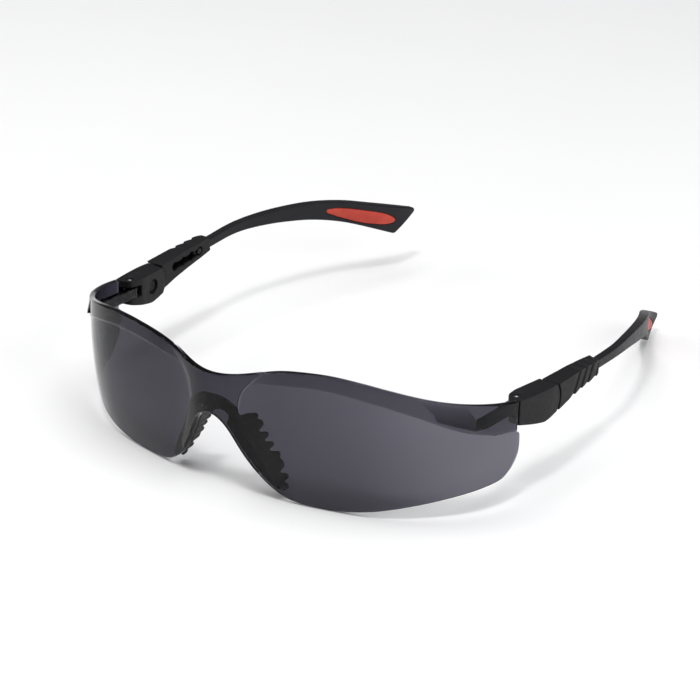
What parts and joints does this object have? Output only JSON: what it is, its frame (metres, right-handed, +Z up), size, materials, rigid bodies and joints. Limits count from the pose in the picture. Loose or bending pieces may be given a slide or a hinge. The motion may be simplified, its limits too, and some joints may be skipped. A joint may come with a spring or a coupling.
{
  "type": "safety glasses",
  "caption": "Wraparound smoked-lens safety glasses with a soft finned nose piece and temples that fold, tilt in clicks and slide to length.",
  "frame": {"origin": "middle of the bounding box, on the table the glasses stand on", "axes": "+Z up, the lens faces -Y, +X is the wearer's left"},
  "size_m": [0.1458, 0.1682, 0.0419],
  "materials": {
    "smoke_lens": "glossy smoke-grey polycarbonate, see-through",
    "nose_rubber": "soft matte black thermoplastic rubber",
    "hinge_black": "fine matte black nylon",
    "sleeve_black": "fine matte black nylon with grip steps",
    "temple_black": "satin black nylon",
    "pin_steel": "plain steel pin",
    "tip_red": "soft matte red grip insert"
  },
  "bodies": {
    "front": {"lens": "smoke_lens", "nose_bridge": "nose_rubber", "nose_pad_left": "nose_rubber", "nose_pad_right": "nose_rubber"},
    "hinge_left": {"hinge_block_left": "hinge_black", "hinge_pin_left": "pin_steel", "tilt_pin_left": "hinge_black"},
    "sleeve_left": {"sleeve_left": "sleeve_black"},
    "temple_left": {"temple_arm_left": "temple_black", "length_peg_left": "temple_black", "tip_insert_left": "tip_red"},
    "hinge_right": {"hinge_block_right": "hinge_black", "hinge_pin_right": "pin_steel", "tilt_pin_right": "hinge_black"},
    "sleeve_right": {"sleeve_right": "sleeve_black"},
    "temple_right": {"temple_arm_right": "temple_black", "length_peg_right": "temple_black", "tip_insert_right": "tip_red"}
  },
  "joints": [
    {"name": "fold_left", "type": "hinge", "parent": "front", "child": "hinge_left", "pos_m": [0.068, -0.03521, 0.02581], "axis": [0, 0.0523, 0.9986], "range_deg": [0, 90]},
    {"name": "tilt_left", "type": "hinge", "parent": "hinge_left", "child": "sleeve_left", "pos_m": [0.07, -0.02645, 0.02475], "axis": [1, 0, 0], "range_deg": [-7, 14]},
    {"name": "length_left", "type": "slide", "parent": "sleeve_left", "child": "temple_left", "axis": [0.044, -0.9977, 0.0523], "range_m": [0, 0.0123]},
    {"name": "fold_right", "type": "hinge", "parent": "front", "child": "hinge_right", "pos_m": [-0.068, -0.03521, 0.02581], "axis": [0, -0.0523, -0.9986], "range_deg": [0, 75]},
    {"name": "tilt_right", "type": "hinge", "parent": "hinge_right", "child": "sleeve_right", "pos_m": [-0.07, -0.02645, 0.02475], "axis": [1, 0, 0], "range_deg": [-14, 7]},
    {"name": "length_right", "type": "slide", "parent": "sleeve_right", "child": "temple_right", "axis": [-0.044, -0.9966, -0.0697], "range_m": [0, 0.0123]}
  ]
}
